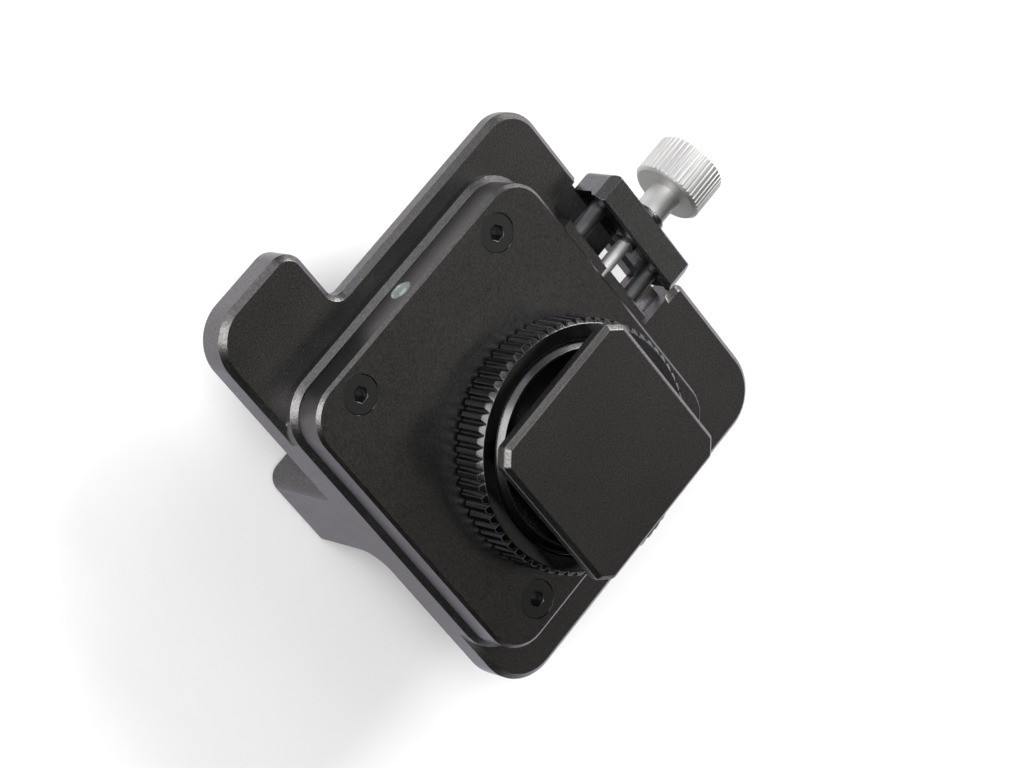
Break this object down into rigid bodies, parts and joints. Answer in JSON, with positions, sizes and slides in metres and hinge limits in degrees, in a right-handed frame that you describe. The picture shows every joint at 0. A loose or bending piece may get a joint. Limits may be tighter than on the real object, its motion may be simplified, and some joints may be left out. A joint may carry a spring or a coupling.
{
  "type": "star tracker mount",
  "caption": "Star tracker mount: machined bracket with a motor-driven polar spindle, square dovetail plate, knurled lock ring and side finder clamp.",
  "frame": {"origin": "where the polar axis meets the rear face, at the mouth of the tripod socket", "axes": "+Z is the polar axis, from the rear face towards the dovetail plate; +Y points at the side tab; +X points at the finder clamp and its knob"},
  "size_m": [0.1014, 0.1053, 0.056],
  "materials": {
    "bracket_finish": "fine bead-blasted, black anodised",
    "cover_finish": "fine bead-blasted, black anodised",
    "ring_finish": "machined and black anodised",
    "dovetail_finish": "fine bead-blasted, black anodised",
    "jaw_finish": "fine bead-blasted, black anodised",
    "spindle_finish": "turned, black anodised",
    "collar_finish": "turned, black anodised",
    "rear_cover_finish": "turned, black anodised",
    "silver_steel": "satin, fine turned",
    "black_steel": "black oxide, oiled",
    "pin_steel": "ground, satin",
    "bearing_steel": "polished bearing steel",
    "gear_brass": "hobbed, satin",
    "pinion_steel": "hardened, satin",
    "motor_steel": "drawn can, nickel plated",
    "gasket_rubber": "matt sheet",
    "washer_plastic": "low-friction plastic",
    "board_green": "solder mask over glass laminate",
    "chip_black": "moulded packages",
    "battery_wrap": "shrink wrap",
    "lens_clear": "frosted light guide",
    "button_black": "fine moulded grain",
    "switch_plastic": "moulded"
  },
  "bodies": {
    "mount_frame": {"bracket": "bracket_finish", "housing_cover": "cover_finish", "cover_gasket": "gasket_rubber", "cover_screws": "black_steel", "rear_cover": "rear_cover_finish", "rear_cover_screws": "black_steel", "tripod_bush": "silver_steel", "front_bearing_outer": "bearing_steel", "front_bearing_balls": "bearing_steel", "rear_bearing_outer": "bearing_steel", "rear_bearing_balls": "bearing_steel", "motor_can": "motor_steel", "motor_gearbox": "motor_steel", "motor_plate": "motor_steel", "motor_screws": "black_steel", "threaded_collar": "collar_finish", "collar_screws": "black_steel", "clamp_guide_pins": "pin_steel", "battery": "battery_wrap", "circuit_board": "board_green", "board_chips": "chip_black", "board_screws": "black_steel", "status_lens": "lens_clear", "charging_socket": "silver_steel", "power_switch": "switch_plastic"},
    "polar_assembly": {"spindle": "spindle_finish", "spindle_circlip": "black_steel", "dovetail_plate": "dovetail_finish", "dovetail_screws": "black_steel", "dovetail_dowels": "pin_steel", "drive_gear": "gear_brass", "clutch_washers": "washer_plastic", "front_bearing_inner": "bearing_steel", "rear_bearing_inner": "bearing_steel"},
    "motor_output": {"motor_pinion": "pinion_steel", "motor_shaft": "pinion_steel"},
    "lock_ring_body": {"lock_ring": "ring_finish"},
    "moving_jaw": {"clamp_jaw": "jaw_finish"},
    "knob": {"clamp_knob": "silver_steel", "clamp_knob_clip": "black_steel"},
    "button": {"power_button": "button_black"}
  },
  "joints": [
    {"name": "polar_spin", "type": "hinge", "parent": "mount_frame", "child": "polar_assembly", "pos_m": [0, 0, 0], "axis": [0, 0, 1], "continuous": true},
    {"name": "motor_spin", "type": "hinge", "parent": "mount_frame", "child": "motor_output", "pos_m": [-0.00556, -0.01527, 0], "axis": [0, 0, 1], "continuous": true},
    {"name": "lock_ring_turn", "type": "hinge", "parent": "mount_frame", "child": "lock_ring_body", "pos_m": [0, 0, 0], "axis": [0, 0, 1], "range_deg": [0, 60]},
    {"name": "jaw_slide", "type": "slide", "parent": "mount_frame", "child": "moving_jaw", "axis": [1, 0, 0], "range_m": [-0.002, 0.002]},
    {"name": "knob_turn", "type": "hinge", "parent": "moving_jaw", "child": "knob", "pos_m": [0.05, 0.01485, 0.034], "axis": [1, 0, 0], "range_deg": [-1441, 1441]},
    {"name": "button_press", "type": "slide", "parent": "mount_frame", "child": "button", "axis": [0, 1, 0], "range_m": [0, 0.0005], "stiffness_N_per_m": 800, "springref_m": -0.001}
  ],
  "couplings": [
    {"joint": "motor_spin", "follows": "polar_spin", "ratio": -3.0625},
    {"joint": "knob_turn", "follows": "jaw_slide", "rad_per_m": 12566}
  ]
}
